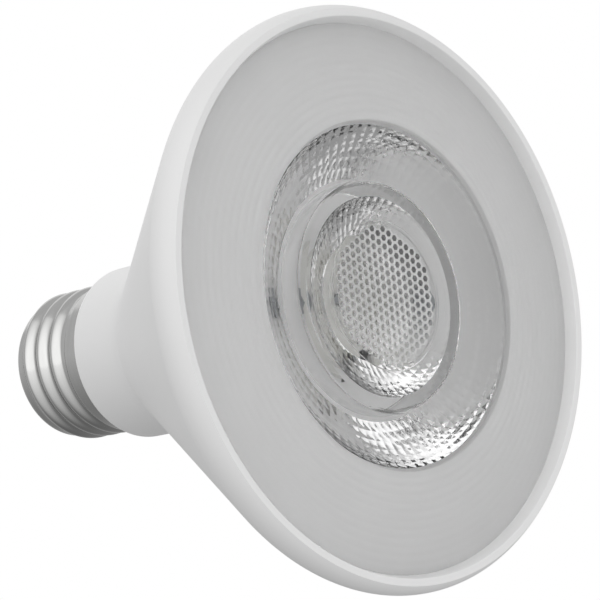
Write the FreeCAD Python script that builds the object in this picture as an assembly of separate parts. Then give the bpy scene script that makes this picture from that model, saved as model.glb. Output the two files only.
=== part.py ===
import FreeCAD, Part
import math
import os

from FreeCAD import Placement, Rotation, Vector

# Reflector lamp with a screw base, standing on its front rim.
# Lengths are in millimetres and angles in degrees.
# Z runs along the lamp's axis from the rim (z = 0) up to the base contact.

# Housing: rim, cone, neck and spigot in one moulding
rim_radius = 47.5
rim_height = 3.0
rim_side_width = 1.4
rim_land_width = 1.2
rim_chamfer_width = 0.7
rim_chamfer_height = 1.0
cone_angle = 35.4
housing_wall = 1.8
neck_radius = 14.9
neck_length = 11.5
neck_blend = 9.0
neck_end_chamfer = 0.6
spigot_wall = 1.4
spigot_length = 11.0
lens_ledge_width = 1.6

# Front lens: frosted ring, clear faceted optic and honeycomb disc in one moulding
lens_clearance = 0.1
lens_lip_width = 0.7
lens_edge_depth = 2.0
lens_edge_thickness = 1.8
lens_crown = 0.2
clear_radius = 28.2
clear_depth = 0.3
clear_thickness = 1.9
recess_radius = 19.0
recess_depth = 1.45
optic_depth = 10.6
outer_wall_foot_radius = 19.75
outer_wall_sides = 60
outer_wall_rows = 3
outer_wall_bulge = 0.9
outer_foot_land = 0.8
groove_depth = 3.9
inner_wall_top_radius = 17.2
inner_wall_foot_radius = 10.6
inner_wall_sides = 42
inner_wall_rows = 3
inner_wall_bulge = 0.45
cavity_radius = 9.0
cavity_depth = 5.0
cavity_lens_sag = 1.4
parabola_half_height = 0.75
honeycomb_radius = 10.6
honeycomb_pitch = 1.44
honeycomb_sides = 6
honeycomb_cell_depth = 0.35

# LED board and the pressed aluminium dish that carries it
heat_sink_wall = 1.6
heat_sink_top_gap = 0.4
led_clearance = 0.7
led_size = 3.0
led_height = 0.7
led_ring_radius = 5.0
led_ring_count = 6
phosphor_size = 2.2
phosphor_height = 0.05
led_board_radius = 12.2
led_board_thickness = 1.5
wire_slot_offset = 11.0
wire_slot_length = 3.0
wire_slot_width = 4.0
screw_gap = 0.15
screw_radius = 1.25
screw_head_radius = 2.5
screw_head_sides = 6
screw_head_height = 1.3
screw_length = 5.0

# Driver board, standing in two guide slots of the neck
board_thickness = 1.2
board_offset = 3.6
board_width = 23.0
board_tongue_gap = 1.47
board_drop = 36.4
board_reach = 10.5
board_clearance = 0.1
guide_depth = 2.0
guide_lip = 2.0
guide_length = 12.0

# Driver components: sizes across, off and along the board, and places
# across the board and down from the neck's end
transformer_drop = 25.4
bobbin_size = 13.0
bobbin_flange = 1.0
bobbin_wall = 0.7
bobbin_depth = 11.0
winding_size = 10.4
core_leg = 3.2
core_post = 6.0
core_gap = 0.6
output_capacitor_radius = 4.0
output_capacitor_length = 12.0
output_capacitor_place = (-5.0, 14.6)
film_capacitor_size = (4.5, 9.0, 8.0)
film_capacitor_place = (2.6, 14.6)
input_capacitor_radius = 4.0
input_capacitor_length = 11.5
input_capacitor_place = (-4.4, 6.2)
choke_size = (7.2, 5.0, 7.2)
choke_place = (4.6, 6.2)
fuse_size = (4.0, 7.6, 8.0)
fuse_place = (0.0, -5.8)
varistor_size = (7.0, 2.4, 5.6)
varistor_place = (4.2, 5.4)
rectifier_size = (6.4, 1.6, 4.8)
rectifier_place = (-4.4, 5.4)
control_chip_size = (5.0, 1.5, 4.0)
control_chip_place = (3.6, 17.4)
diode_size = (2.6, 2.1, 4.3)
diode_place = (-4.6, 18.4)
chip_resistor_size = (1.6, 0.5, 0.8)
chip_resistor_drop = 28.4
chip_resistor_count = 5
chip_resistor_pitch = 2.6

# Wires
wire_radius = 0.55
wire_sides = 6
wire_bend = 1.2
wire_tail = 5.0
wire_margin = 3.0
wire_clearance = 0.05
led_wire_spread = 3.6
led_wire_gap = 1.5
led_wire_pair = 0.72
live_wire_rise = 1.5
neutral_wire_rise = 2.2

# Screw base, 26 mm with 7 threads to the inch
shell_radius = 13.2
shell_wall = 0.35
shell_skirt_length = 4.6
thread_pitch = 3.629
thread_depth = 0.85
thread_turns = 3.0
thread_flank_drop = 0.22
thread_flank_width = 1.7
thread_foot_width = 2.7
shell_length = 19.2
shell_mouth_inset = 3.8
shell_shoulder = 1.8
insulator_wall = 1.6
insulator_rise = 3.4
contact_radius = 4.6
contact_height = 1.3
contact_crown = 1.2
contact_stem_radius = 2.6


def outline(*points):
    """Edges of a closed outline in the plane of radius and height.

    A point is (r, z), (r, z, radius) for a rounded corner, or (r, z, "through")
    for a point in the middle of the arc that joins its two neighbours.
    """
    places = [Vector(point[0], 0, point[1]) for point in points]
    count = len(points)
    starts = []
    ends = []
    arcs = []
    for index, point in enumerate(points):
        corner = places[index]
        radius = point[2] if len(point) > 2 else 0
        if radius == "through" or radius == 0:
            starts.append(corner)
            ends.append(corner)
            arcs.append(None)
            continue
        back = (places[index - 1] - corner).normalize()
        ahead = (places[(index + 1) % count] - corner).normalize()
        half_angle = back.getAngle(ahead) / 2
        reach = radius / math.tan(half_angle)
        middle = (back + ahead).normalize() * (radius / math.sin(half_angle) - radius)
        starts.append(corner + back * reach)
        ends.append(corner + ahead * reach)
        arcs.append(Part.Arc(starts[-1], corner + middle, ends[-1]).toShape())
    edges = []
    for index, point in enumerate(points):
        following = (index + 1) % count
        if arcs[index]:
            edges.append(arcs[index])
        if point[-1] == "through":
            edges.append(Part.Arc(ends[index - 1], places[index], starts[following]).toShape())
        elif points[following][-1] != "through":
            edges.append(Part.LineSegment(ends[index], starts[following]).toShape())
    return edges


def revolved(*points):
    """Solid of revolution about the lamp's axis."""
    face = Part.Face(Part.Wire(outline(*points)))
    return face.revolve(Vector(0, 0, 0), Vector(0, 0, 1), 360)


def block(size, x_middle, y_low, z_middle):
    """Block centred in x and z, standing on its low y face."""
    corner = Vector(x_middle - size[0] / 2, y_low, z_middle - size[2] / 2)
    return Part.makeBox(*size, corner)


def corners_of(radius, sides, x=0.0, y=0.0, z=0.0):
    """Corners of a level regular polygon."""
    step = 2 * math.pi / sides
    return [
        Vector(x + radius * math.cos(step * side), y + radius * math.sin(step * side), z)
        for side in range(sides)
    ]


def polygon(corners):
    """Closed line through some corners."""
    return Part.makePolygon(corners + corners[:1])


def faceted_cone(top, foot, sides, rows, bulge):
    """Solid cone of flat facets in rows, bulging outwards between its two ends.

    Each end is (r, z), and its flats touch the radius.
    """
    corner_ratio = 1 / math.cos(math.pi / sides)
    rings = []
    for row in range(rows + 1):
        share = row / rows
        radius = top[0] + (foot[0] - top[0]) * share + bulge * math.sin(math.pi * share)
        height = top[1] + (foot[1] - top[1]) * share
        rings.append(corners_of(radius * corner_ratio, sides, z=height))
    faces = [Part.Face(polygon(rings[0])), Part.Face(polygon(rings[-1]))]
    for low, high in zip(rings, rings[1:]):
        for side in range(sides):
            after = (side + 1) % sides
            faces.append(Part.Face(polygon([low[side], low[after], high[after], high[side]])))
    return Part.Solid(Part.Shell(faces))


def pyramid(radius, sides, x, y, z, rise):
    """Solid pyramid on a level regular polygon."""
    foot = corners_of(radius, sides, x, y, z)
    point = Vector(x, y, z + rise)
    faces = [Part.Face(polygon(foot))]
    for side in range(sides):
        faces.append(Part.Face(polygon([foot[side], foot[(side + 1) % sides], point])))
    return Part.Solid(Part.Shell(faces))


# Sizes that follow from the ones above
cone_turn = math.radians(cone_angle)
slope = math.tan(cone_turn)
rim_land_outer = rim_radius - rim_side_width
rim_land_inner = rim_land_outer - rim_land_width
rim_side = rim_side_width - rim_chamfer_width
rim_rise = rim_height - rim_chamfer_height
rim_bend = (rim_side ** 2 + rim_rise ** 2) / (2 * rim_side)
rim_bend_centre = rim_radius - rim_bend
cone_start_radius = rim_bend_centre + rim_bend * math.cos(cone_turn)
cone_start_height = rim_height + rim_bend * math.sin(cone_turn)
housing_inset = housing_wall / math.cos(cone_turn)
heat_sink_inset = housing_inset + heat_sink_wall / math.cos(cone_turn)


def cone_radius(z, inset=0.0):
    """Radius of the housing's cone at a height, or of a cone inset from it."""
    return cone_start_radius - slope * (z - cone_start_height) - inset


def cone_height(radius, inset=0.0):
    """Height at which the cone, or a cone inset from it, has a radius."""
    return cone_start_height + (cone_start_radius - inset - radius) / slope


lens_seat_radius = rim_land_inner - lens_lip_width
lens_radius = lens_seat_radius - lens_clearance
lens_seat_height = lens_edge_depth + lens_edge_thickness
ledge_radius = lens_seat_radius - lens_ledge_width
ledge_end = cone_height(ledge_radius, housing_inset)
neck_bore = neck_radius - housing_wall
neck_end = cone_height(neck_radius) + neck_length
neck_shoulder = neck_end - housing_wall
skirt_end = neck_end + shell_skirt_length
thread_root_radius = shell_radius - thread_depth
thread_flank_radius = shell_radius - thread_flank_drop
shell_mouth_radius = shell_radius - shell_mouth_inset
spigot_radius = thread_root_radius - shell_wall
spigot_bore = spigot_radius - spigot_wall
spigot_end = neck_end + spigot_length

clear_back = clear_depth + clear_thickness
recess_floor = clear_depth + recess_depth
groove_top = clear_depth + groove_depth
cavity_top = clear_depth + cavity_depth
lens_foot = clear_depth + optic_depth
led_face = lens_foot + led_clearance
board_face = led_face + led_height
board_back = board_face + led_board_thickness
screw_circle_radius = led_board_radius + screw_gap + screw_radius
heat_sink_top = ledge_end + heat_sink_top_gap
heat_sink_back = board_back + heat_sink_wall

shell_end = neck_end + shell_length
driver_back = -board_offset
driver_front = board_thickness - board_offset
driver_start = neck_end - board_drop
driver_end = neck_end + board_reach
board_tongue_width = 2 * (math.sqrt(spigot_bore**2 - driver_back**2) - board_tongue_gap)

shell_bore_end = shell_end - shell_shoulder - shell_wall
insulator_start = shell_end - shell_wall - insulator_wall
contact_seat = shell_end + insulator_rise
base_end = contact_seat + contact_height + contact_crown


def make_housing():
    """White moulded shell with the lens seat, the guide slots and the spigot."""
    land_turn = -math.asin(rim_rise / rim_bend)
    bend_turn = (land_turn + cone_turn) / 2
    bend_middle = (
        rim_bend_centre + rim_bend * math.cos(bend_turn),
        rim_height + rim_bend * math.sin(bend_turn),
    )
    body = revolved(
        (rim_land_inner, 0),
        (rim_land_outer, 0),
        (rim_land_outer + rim_chamfer_width, rim_chamfer_height),
        (*bend_middle, "through"),
        (cone_start_radius, cone_start_height),
        (neck_radius, cone_height(neck_radius), neck_blend),
        (neck_radius, neck_end - neck_end_chamfer),
        (neck_radius - neck_end_chamfer, neck_end),
        (spigot_radius, neck_end),
        (spigot_radius, spigot_end),
        (spigot_bore, spigot_end),
        (spigot_bore, neck_shoulder),
        (neck_bore, neck_shoulder),
        (neck_bore, cone_height(neck_bore, housing_inset)),
        (ledge_radius, ledge_end),
        (ledge_radius, lens_seat_height),
        (lens_seat_radius, lens_seat_height),
        (lens_seat_radius, lens_edge_depth),
    )
    return body.fuse(make_guides())


def make_guides():
    """Two slotted guides inside the neck that hold the driver board's long edges."""
    slot_low = driver_back - board_clearance
    slot_width = board_thickness + 2 * board_clearance
    guide_start = neck_shoulder - guide_length
    inner = board_width / 2 - guide_depth
    outer = neck_bore + housing_wall / 2
    ring = Part.makeCylinder(outer, guide_length, Vector(0, 0, guide_start))
    slot = Part.makeBox(
        board_width + 2 * board_clearance, slot_width, guide_length,
        Vector(-board_width / 2 - board_clearance, slot_low, guide_start),
    )
    guides = []
    for x_low in (inner, -inner - outer):
        bar = Part.makeBox(
            outer, slot_width + 2 * guide_lip, guide_length,
            Vector(x_low, slot_low - guide_lip, guide_start),
        )
        guides.append(bar.common(ring).cut(slot))
    return guides


def honeycomb_centres():
    """Centres of the honeycomb's whole cells, in columns along y."""
    column_step = honeycomb_pitch * math.sqrt(3) / 2
    reach = honeycomb_radius - honeycomb_pitch / math.sqrt(3)
    columns = int(reach / column_step)
    rows = int(reach / honeycomb_pitch) + 1
    centres = []
    for column in range(-columns, columns + 1):
        shift = honeycomb_pitch / 2 if column % 2 else 0
        for row in range(-rows, rows + 1):
            centre = (column * column_step, row * honeycomb_pitch + shift)
            if math.hypot(*centre) < reach:
                centres.append(centre)
    return centres


def make_honeycomb():
    """Six-sided hollows of the honeycomb disc, each running down to a point."""
    mouth_radius = honeycomb_pitch / math.sqrt(3)
    return Part.makeCompound([
        pyramid(mouth_radius, honeycomb_sides, x, y, recess_floor, honeycomb_cell_depth)
        for x, y in honeycomb_centres()
    ])


def make_front_lens():
    """Moulded lens: frosted ring, two faceted rings, central cavity and honeycomb disc."""
    crown_radius = (lens_radius + clear_radius) / 2
    crown_depth = (lens_edge_depth + clear_depth) / 2 - lens_crown
    plate = revolved(
        (0, clear_depth),
        (clear_radius, clear_depth),
        (crown_radius, crown_depth, "through"),
        (lens_radius, lens_edge_depth),
        (lens_radius, lens_seat_height),
        (ledge_radius, lens_seat_height),
        (clear_radius, clear_back),
        (0, clear_back),
    )
    outer_wall = faceted_cone(
        (clear_radius, (clear_depth + clear_back) / 2), (outer_wall_foot_radius, lens_foot),
        outer_wall_sides, outer_wall_rows, outer_wall_bulge,
    )
    groove = revolved(
        (0, groove_top),
        (outer_wall_foot_radius - outer_foot_land, groove_top),
        (outer_wall_foot_radius - outer_foot_land, board_face),
        (0, board_face),
    )
    inner_wall = faceted_cone(
        (inner_wall_top_radius, (recess_floor + groove_top) / 2), (inner_wall_foot_radius, lens_foot),
        inner_wall_sides, inner_wall_rows, inner_wall_bulge,
    )
    cavity = revolved(
        (0, cavity_top + cavity_lens_sag),
        (cavity_radius / 2, cavity_top + cavity_lens_sag * parabola_half_height, "through"),
        (cavity_radius, cavity_top),
        (cavity_radius, board_face),
        (0, board_face),
    )
    recess = revolved(
        (0, 0),
        (recess_radius, 0),
        (recess_radius, clear_depth),
        (honeycomb_radius, recess_floor),
        (0, recess_floor),
    )
    lens = plate.fuse(outer_wall).cut(groove).fuse(inner_wall).cut(cavity).cut(recess)
    return lens.cut(make_honeycomb())


def wire_slot(low, high):
    """Slot for the two LED wires."""
    corner = Vector(-wire_slot_width / 2, wire_slot_offset - wire_slot_length / 2, low)
    return Part.makeBox(wire_slot_width, wire_slot_length, high - low, corner)


def screw_rods(radius, low, high):
    """Round rods on the axes of the two board screws."""
    return [
        Part.makeCylinder(radius, high - low, Vector(side * screw_circle_radius, 0, low))
        for side in (-1, 1)
    ]


def make_heat_sink():
    """Pressed aluminium dish whose tapered side sits on the cone's inner wall."""
    dish = revolved(
        (0, board_back),
        (cone_radius(board_back, heat_sink_inset), board_back),
        (cone_radius(heat_sink_top, heat_sink_inset), heat_sink_top),
        (cone_radius(heat_sink_top, housing_inset), heat_sink_top),
        (cone_radius(heat_sink_back, housing_inset), heat_sink_back),
        (0, heat_sink_back),
    )
    holes = screw_rods(screw_radius, board_back, heat_sink_back)
    return dish.cut([wire_slot(board_back, heat_sink_back)] + holes)


def make_led_board():
    """Round board with a notch for the wires; two screw heads clamp its edge."""
    disc = Part.makeCylinder(led_board_radius, led_board_thickness, Vector(0, 0, board_face))
    return disc.cut(wire_slot(board_face, board_back))


def make_leds():
    """LED bodies and the phosphor on each."""
    places = [Placement()]
    for index in range(led_ring_count):
        turn = Rotation(Vector(0, 0, 1), 360 / led_ring_count * index)
        places.append(Placement(turn.multVec(Vector(led_ring_radius, 0, 0)), turn))
    bodies = []
    phosphors = []
    for place in places:
        body = Part.makeBox(led_size, led_size, led_height, Vector(-led_size / 2, -led_size / 2, led_face))
        corner = Vector(-phosphor_size / 2, -phosphor_size / 2, led_face - phosphor_height)
        phosphor = Part.makeBox(phosphor_size, phosphor_size, phosphor_height, corner)
        body.Placement = place
        phosphor.Placement = place
        bodies.append(body)
        phosphors.append(phosphor)
    return Part.makeCompound(bodies), Part.makeCompound(phosphors)


def make_board_screws():
    """Hexagon head screws in the dish, whose heads overlap the LED board's edge."""
    screws = []
    for shank in screw_rods(screw_radius, board_face, board_face + screw_length):
        x = shank.CenterOfMass.x
        head_corners = corners_of(screw_head_radius, screw_head_sides, x, 0, board_face)
        head = Part.Face(polygon(head_corners)).extrude(Vector(0, 0, -screw_head_height))
        screws.append(shank.fuse(head))
    return Part.makeCompound(screws)


def make_driver_board():
    """Stepped board whose shoulders rest on the neck's end wall."""
    wide_length = neck_shoulder - driver_start
    tongue_length = driver_end - neck_shoulder
    wide_middle = neck_shoulder - wide_length / 2
    wide = block((board_width, board_thickness, wide_length), 0, driver_back, wide_middle)
    tongue_middle = neck_shoulder + tongue_length / 2
    tongue_size = (board_tongue_width, board_thickness, tongue_length)
    tongue = block(tongue_size, 0, driver_back, tongue_middle)
    return wide.fuse(tongue).removeSplitter()


def make_transformer():
    """Bobbin, winding and ferrite core of the driver's transformer."""
    height = neck_end - transformer_drop
    far_flange = driver_front + bobbin_depth - bobbin_flange
    tube_size = core_post + 2 * bobbin_wall
    flange = (bobbin_size, bobbin_flange, bobbin_size)
    tube = block((tube_size, bobbin_depth, tube_size), 0, driver_front, height)
    bore = block((core_post, bobbin_depth, core_post), 0, driver_front, height)
    flanges = [block(flange, 0, driver_front, height), block(flange, 0, far_flange, height)]
    bobbin = tube.fuse(flanges).cut(bore).removeSplitter()
    span = bobbin_depth - 2 * bobbin_flange
    winding = block((winding_size, span, winding_size), 0, driver_front + bobbin_flange, height).cut(tube)
    yoke_width = bobbin_size + 2 * core_leg
    core = block((yoke_width, core_leg, core_post), 0, driver_front + bobbin_depth, height)
    post = block((core_post, bobbin_depth - core_gap, core_post), 0, driver_front + core_gap, height)
    legs = [
        block((core_leg, bobbin_depth, core_post), side * (bobbin_size + core_leg) / 2, driver_front, height)
        for side in (-1, 1)
    ]
    return bobbin, winding, core.fuse([post] + legs).removeSplitter()


def can(radius, length, place):
    """Round can standing on the driver board's front."""
    foot = Vector(place[0], driver_front, neck_end - place[1])
    return Part.makeCylinder(radius, length, foot, Vector(0, 1, 0))


def front_block(size, place):
    """Block standing on the driver board's front."""
    return block(size, place[0], driver_front, neck_end - place[1])


def back_block(size, place):
    """Flat block lying on the driver board's back."""
    return block(size, place[0], driver_back - size[1], neck_end - place[1])


def make_chip_resistors():
    """Row of small resistors on the board's back."""
    first = -(chip_resistor_count - 1) / 2 * chip_resistor_pitch
    return Part.makeCompound([
        back_block(chip_resistor_size, (first + index * chip_resistor_pitch, chip_resistor_drop))
        for index in range(chip_resistor_count)
    ])


def wire(points):
    """Insulated wire along straight runs, with each bend taken in two mitres."""
    path = [points[0]]
    for before, corner, after in zip(points, points[1:], points[2:]):
        path.append(corner + (before - corner).normalize() * wire_bend)
        path.append(corner + (after - corner).normalize() * wire_bend)
    path.append(points[-1])
    section = polygon(corners_of(wire_radius, wire_sides))
    section.Placement = Placement(path[0], Rotation(Vector(0, 0, 1), path[1] - path[0]))
    mitred = 1
    return Part.makePolygon(path).makePipeShell([section], True, False, mitred)


def make_led_wire(side):
    """Wire from the driver board through the slot to a pad of the LED board."""
    spread = side * led_wire_pair
    lane = driver_front + wire_radius
    lift = board_face - wire_radius - wire_clearance
    pad = wire_slot_offset - wire_slot_length / 2 - wire_margin
    return wire(
        [
            Vector(side * led_wire_spread, lane, driver_start + wire_margin),
            Vector(side * led_wire_spread, lane, driver_start - led_wire_gap),
            Vector(spread, wire_slot_offset, heat_sink_back + wire_margin),
            Vector(spread, wire_slot_offset, lift),
            Vector(spread, pad, lift),
        ]
    )


def make_screw_shell():
    """Rolled shell: plain skirt, knuckle thread and turned-in end."""
    body = revolved(
        (0, neck_end),
        (shell_radius, neck_end),
        (shell_radius, skirt_end),
        (thread_root_radius, skirt_end + shell_radius - thread_root_radius),
        (thread_root_radius, shell_end - shell_shoulder),
        (shell_mouth_radius, shell_end),
        (0, shell_end),
    )
    inner = thread_root_radius - shell_wall / 2
    section = [
        Vector(inner, 0, -thread_foot_width / 2),
        Vector(thread_flank_radius, 0, -thread_flank_width / 2),
        Vector(shell_radius, 0, 0),
        Vector(thread_flank_radius, 0, thread_flank_width / 2),
        Vector(inner, 0, thread_foot_width / 2),
    ]
    tooth = polygon(section)
    helix = Part.makeHelix(thread_pitch, thread_pitch * thread_turns, thread_root_radius)
    ridge = Part.Wire(helix.Edges).makePipeShell([tooth], True, True)
    ridge.translate(Vector(0, 0, skirt_end + thread_foot_width / 2))
    hollow = revolved(
        (0, neck_end),
        (shell_radius - shell_wall, neck_end),
        (shell_radius - shell_wall, skirt_end),
        (spigot_radius, skirt_end),
        (spigot_radius, shell_bore_end),
        (shell_mouth_radius, shell_end - shell_wall),
        (shell_mouth_radius, shell_end),
        (0, shell_end),
    )
    return body.fuse(ridge).cut(hollow)


def make_base_insulator():
    """Insulator that fills the shell's end and carries the contact."""
    return revolved(
        (contact_stem_radius, insulator_start),
        (shell_mouth_radius, insulator_start),
        (shell_mouth_radius, shell_end),
        (contact_radius, contact_seat),
        (contact_stem_radius, contact_seat),
    )


def make_centre_contact():
    """Contact cap with a stem through the insulator."""
    return revolved(
        (0, insulator_start),
        (contact_stem_radius, insulator_start),
        (contact_stem_radius, contact_seat),
        (contact_radius, contact_seat),
        (contact_radius, contact_seat + contact_height),
        (contact_stem_radius, base_end),
        (0, base_end),
    )


def make_live_wire():
    """Wire from the driver board to the contact's stem."""
    x = board_tongue_width / 2 - wire_margin
    lane = driver_front + wire_radius
    return wire(
        [
            Vector(x, lane, driver_end - wire_tail),
            Vector(x, lane, driver_end + live_wire_rise),
            Vector(0, 0, insulator_start - wire_margin),
            Vector(0, 0, insulator_start),
        ]
    )


def make_neutral_wire():
    """Wire from the driver board to the inside of the screw shell."""
    x = wire_margin - board_tongue_width / 2
    lane = driver_front + wire_radius
    high = spigot_end + neutral_wire_rise
    reach = math.sqrt((spigot_radius - wire_clearance) ** 2 - (abs(lane) + wire_radius) ** 2)
    return wire(
        [
            Vector(x, lane, driver_end - wire_tail),
            Vector(x, lane, high),
            Vector(-reach, lane, high),
        ]
    )


def build_nodes():
    """Every piece of the lamp by name."""
    packages, phosphors = make_leds()
    bobbin, winding, core = make_transformer()
    return {
        "housing": make_housing(),
        "front_lens": make_front_lens(),
        "screw_shell": make_screw_shell(),
        "base_insulator": make_base_insulator(),
        "centre_contact": make_centre_contact(),
        "heat_sink": make_heat_sink(),
        "led_board": make_led_board(),
        "led_packages": packages,
        "led_phosphors": phosphors,
        "board_screws": make_board_screws(),
        "driver_board": make_driver_board(),
        "transformer_bobbin": bobbin,
        "transformer_winding": winding,
        "transformer_core": core,
        "output_capacitor": can(output_capacitor_radius, output_capacitor_length, output_capacitor_place),
        "input_capacitor": can(input_capacitor_radius, input_capacitor_length, input_capacitor_place),
        "film_capacitor": front_block(film_capacitor_size, film_capacitor_place),
        "choke": front_block(choke_size, choke_place),
        "fuse": front_block(fuse_size, fuse_place),
        "surge_varistor": back_block(varistor_size, varistor_place),
        "bridge_rectifier": back_block(rectifier_size, rectifier_place),
        "control_chip": back_block(control_chip_size, control_chip_place),
        "output_diode": back_block(diode_size, diode_place),
        "chip_resistors": make_chip_resistors(),
        "live_wire": make_live_wire(),
        "neutral_wire": make_neutral_wire(),
        "led_wire_positive": make_led_wire(1),
        "led_wire_negative": make_led_wire(-1),
    }


os.makedirs("parts", exist_ok=True)
for name, shape in build_nodes().items():
    shape.exportStep("parts/" + name + ".step")
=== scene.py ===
"""Looks of a par spotlight bulb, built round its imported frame.

The lamp stands on its front rim: z = 0 is the rim's front land, and +Z runs to the base contact.
Sizes are in millimetres, and turn to metres only where a mesh, a lamp or the camera is made.
"""

import logging
import math
from collections.abc import Callable
from dataclasses import dataclass, field
from enum import Enum
from functools import partial

import bmesh
import bpy
from mathutils import Matrix, Vector

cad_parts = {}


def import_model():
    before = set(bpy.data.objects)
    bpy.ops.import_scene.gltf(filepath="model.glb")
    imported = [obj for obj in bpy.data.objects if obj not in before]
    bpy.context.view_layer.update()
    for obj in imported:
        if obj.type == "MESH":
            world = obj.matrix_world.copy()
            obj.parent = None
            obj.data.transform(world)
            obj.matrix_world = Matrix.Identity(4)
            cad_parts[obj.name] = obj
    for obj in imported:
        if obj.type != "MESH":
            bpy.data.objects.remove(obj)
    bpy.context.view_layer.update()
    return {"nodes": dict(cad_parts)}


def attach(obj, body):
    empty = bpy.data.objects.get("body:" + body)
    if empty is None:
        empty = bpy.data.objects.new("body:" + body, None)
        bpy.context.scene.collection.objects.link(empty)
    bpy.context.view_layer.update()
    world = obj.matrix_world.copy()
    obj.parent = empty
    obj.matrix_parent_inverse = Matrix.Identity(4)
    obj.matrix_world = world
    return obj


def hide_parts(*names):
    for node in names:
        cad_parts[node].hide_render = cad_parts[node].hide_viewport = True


LOG = logging.getLogger("spotlight")
MM = 0.001
RING_POINTS = 240
SHARP_EDGE = math.radians(24)
ARC_DEGREES = 6.0
PATCH_GROWTH = 14
MARK_DETAIL = 3.0
PATCH_DETAIL = 2.0
# Places of the mix node's colour sockets, which share their names with its other kinds
COLOUR_A = 6
COLOUR_B = 7
COLOUR_RESULT = 2

Point = tuple[float, float]
Triple = tuple[float, float, float]
Corner = Point | Triple
Radius = float | Callable[[float], float]
Ring = list[bmesh.types.BMVert]
Line = list[bmesh.types.BMEdge]
Material = bpy.types.Material
Tree = bpy.types.NodeTree


class Curve(Enum):
    """How a light changes from one strength to another."""

    EVEN = "LINEAR"
    SOFT = "SMOOTHSTEP"


class LensFace(Enum):
    """Place of each finish in the lens moulding's list of materials."""

    CLEAR = 0
    FROSTED = 1
    CELL = 2


def add_node(
    tree: Tree,
    kind: str,
    settings: dict[str, object] | None = None,
    inputs: dict[str | int, object] | None = None,
) -> bpy.types.Node:
    """Adds a node to a tree.

    Args:
        tree: the node tree that gets it.
        kind: the node's type name.
        settings: the node's own properties.
        inputs: a value, an output socket or a node for its first output, by input name or place.

    Returns:
        The new node.
    """
    node = tree.nodes.new(kind)
    for name, value in (settings or {}).items():
        setattr(node, name, value)
    for name, value in (inputs or {}).items():
        source = value.outputs[0] if isinstance(value, bpy.types.Node) else value
        if isinstance(source, bpy.types.NodeSocket):
            tree.links.new(source, node.inputs[name])
        else:
            node.inputs[name].default_value = source
    return node


def new_material(name: str) -> tuple[Material, Tree]:
    """Makes a material, and gives its node tree with it."""
    material = bpy.data.materials.new(name)
    material.use_nodes = True
    return material, material.node_tree


def add_object(name: str, data: bpy.types.ID) -> bpy.types.Object:
    """Makes an object and links it to the scene."""
    made = bpy.data.objects.new(name, data)
    bpy.context.scene.collection.objects.link(made)
    return made


def linear(colour: str) -> tuple[float, float, float, float]:
    """Turns an sRGB hex colour to linear red, green, blue and alpha."""
    parts = [int(colour[start : start + 2], 16) / 255 for start in (1, 3, 5)]
    bent = [part / 12.92 if part <= 0.04045 else ((part + 0.055) / 1.055) ** 2.4 for part in parts]
    return bent[0], bent[1], bent[2], 1.0


def pattern_scale(size: float) -> float:
    """Scale of a procedural texture whose features are that many millimetres across."""
    return 1 / (size * MM)


def clamp(share: float) -> float:
    """Holds a share between 0 and 1."""
    return min(1.0, max(0.0, share))


def ease(share: float) -> float:
    """Smooth step from 0 to 1, level at both ends."""
    return share * share * (3 - 2 * share)


@dataclass(frozen=True)
class Finish:
    """A surface as it is made: its colour, its gloss and the fine marks it carries.

    Args:
        name: the material's common name and how it was made.
        colour: sRGB hex colour.
        shade: sRGB hex colour of its fainter patches.
        roughness: mean roughness.
        spread: how far the roughness moves to either side.
        grain: size of the surface's fine marks in millimetres.
        relief: height of those marks in millimetres.
        stretch: how many times longer a mark is round the lamp than along it.
        metallic: 1 for bare metal.
        ior: index of refraction, for anything but metal.
        transmission: share of light that goes through.
    """

    name: str
    colour: str
    shade: str
    roughness: float
    spread: float = 0.05
    grain: float = 1.0
    relief: float = 0.01
    stretch: float = 1.0
    metallic: float = 0.0
    ior: float | None = None
    transmission: float = 0.0

    def build(self) -> Material:
        """Makes the material.

        Returns:
            The material.
        """
        material, tree = new_material(self.name)
        shader = tree.nodes["Principled BSDF"]
        shader.inputs["Metallic"].default_value = self.metallic
        shader.inputs["Transmission Weight"].default_value = self.transmission
        if self.ior is not None:
            shader.inputs["IOR"].default_value = self.ior
        place = add_node(tree, "ShaderNodeTexCoord").outputs["Object"]
        drawn = add_node(
            tree, "ShaderNodeMapping", inputs={"Vector": place, "Scale": (1, 1, self.stretch)}
        )
        marks, patches = (
            add_node(
                tree,
                "ShaderNodeTexNoise",
                inputs={"Vector": drawn, "Scale": pattern_scale(size), "Detail": detail},
            )
            for size, detail in ((self.grain, MARK_DETAIL), (self.grain * PATCH_GROWTH, PATCH_DETAIL))
        )
        tone = add_node(
            tree,
            "ShaderNodeMix",
            {"data_type": "RGBA"},
            {0: patches, COLOUR_A: linear(self.colour), COLOUR_B: linear(self.shade)},
        )
        gloss = add_node(
            tree,
            "ShaderNodeMapRange",
            inputs={
                "Value": marks,
                "To Min": max(self.roughness - self.spread, 0.0),
                "To Max": self.roughness + self.spread,
            },
        )
        bump = add_node(tree, "ShaderNodeBump", inputs={"Distance": self.relief * MM, "Height": marks})
        tree.links.new(tone.outputs[COLOUR_RESULT], shader.inputs["Base Color"])
        tree.links.new(gloss.outputs["Result"], shader.inputs["Roughness"])
        tree.links.new(bump.outputs["Normal"], shader.inputs["Normal"])
        return material


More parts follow.
